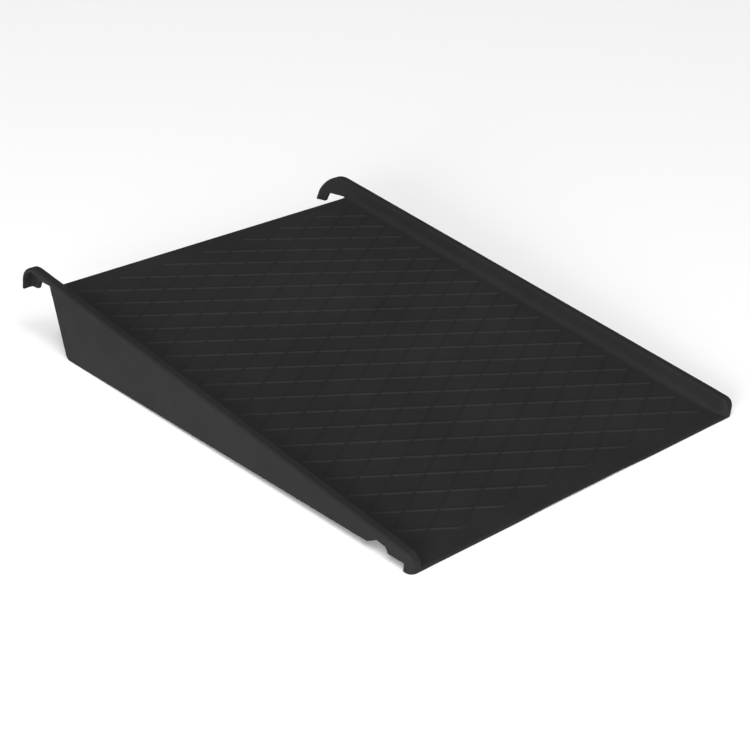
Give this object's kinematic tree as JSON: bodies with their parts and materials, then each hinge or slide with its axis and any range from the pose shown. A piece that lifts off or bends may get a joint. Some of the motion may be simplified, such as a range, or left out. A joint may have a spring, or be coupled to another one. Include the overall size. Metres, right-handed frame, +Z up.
{
  "type": "ramp leveler",
  "caption": "Low wheel ramp with a diamond-ribbed deck between raised kerbs, tapered side walls and two hooks at the high end.",
  "frame": {"origin": "centre of the footprint's bounding box, on the ground", "axes": "+Z up, +Y from the thin toe towards the high heel with its hooks, X across the ramp"},
  "size_m": [0.3204, 0.4604, 0.0613],
  "materials": {
    "moulded_plastic": "matt black moulded plastic with a fine grain"
  },
  "bodies": {
    "root": {"cross_rib_1": "moulded_plastic", "cross_rib_2": "moulded_plastic", "cross_rib_3": "moulded_plastic", "cross_rib_4": "moulded_plastic", "cross_rib_5": "moulded_plastic", "cross_rib_6": "moulded_plastic", "cross_rib_7": "moulded_plastic", "deck_plate": "moulded_plastic", "heel_wall": "moulded_plastic", "hook_left": "moulded_plastic", "hook_right": "moulded_plastic", "kerb_left": "moulded_plastic", "kerb_right": "moulded_plastic", "long_rib_1": "moulded_plastic", "long_rib_2": "moulded_plastic", "long_rib_3": "moulded_plastic", "long_rib_4": "moulded_plastic", "long_rib_5": "moulded_plastic", "side_wall_left": "moulded_plastic", "side_wall_right": "moulded_plastic", "toe_lip": "moulded_plastic", "tread_ribs": "moulded_plastic"}
  },
  "joints": []
}
